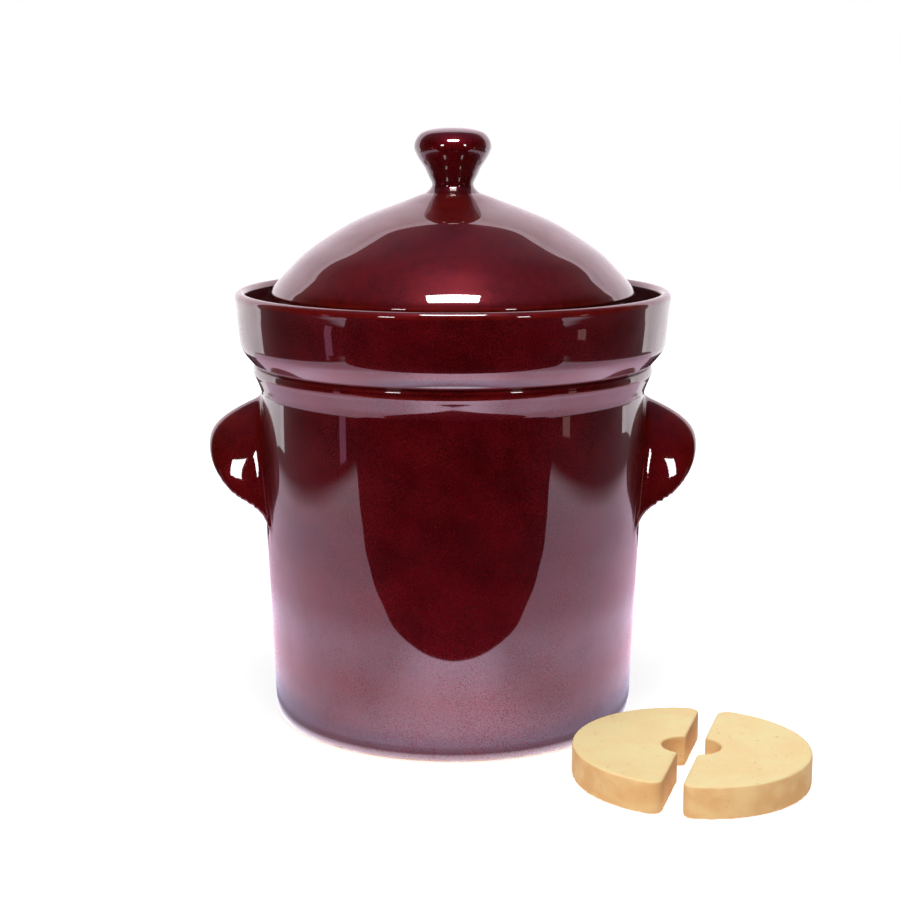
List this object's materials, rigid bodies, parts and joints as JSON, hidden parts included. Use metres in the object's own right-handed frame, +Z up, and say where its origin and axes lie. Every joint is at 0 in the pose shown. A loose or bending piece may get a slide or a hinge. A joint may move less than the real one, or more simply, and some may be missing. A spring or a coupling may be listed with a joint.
{
  "type": "ceramic crock fermenter",
  "caption": "Round glazed stoneware fermenting crock with a water-filled rim, two lug handles, a domed lid with a knob, and two half-disc weight stones.",
  "frame": {"origin": "centre of the crock's flat base, on the surface it stands on", "axes": "+Z up along the crock's axis; +X towards the right handle; -Y towards the front, where the stones lie"},
  "size_m": [0.3082, 0.2851, 0.3155],
  "materials": {
    "crock_glaze": "glossy oxblood glaze with fine red and brown speckle, thinner and orange-red on edges",
    "lid_glaze": "glossy oxblood glaze with fine red and brown speckle, thinner and orange-red on edges",
    "bare_clay": "matt unglazed buff clay, slightly gritty"
  },
  "bodies": {
    "crock": {"vessel": "crock_glaze", "water_gutter": "crock_glaze", "handle_left": "crock_glaze", "handle_right": "crock_glaze"},
    "lid": {"lid_dome": "lid_glaze", "lid_skirt": "lid_glaze", "lid_knob": "lid_glaze"},
    "stone_left": {"weight_stone_left": "bare_clay"},
    "stone_right": {"weight_stone_right": "bare_clay"}
  },
  "joints": [
    {"name": "lid_lift", "type": "slide", "parent": "crock", "child": "lid", "axis": [0, 0, 1], "range_m": [0, 0.15]},
    {"name": "stone_left_lift", "type": "slide", "parent": "crock", "child": "stone_left", "axis": [0, 0, 1], "range_m": [0, 0.15]},
    {"name": "stone_right_lift", "type": "slide", "parent": "crock", "child": "stone_right", "axis": [0, 0, 1], "range_m": [0, 0.15]}
  ]
}
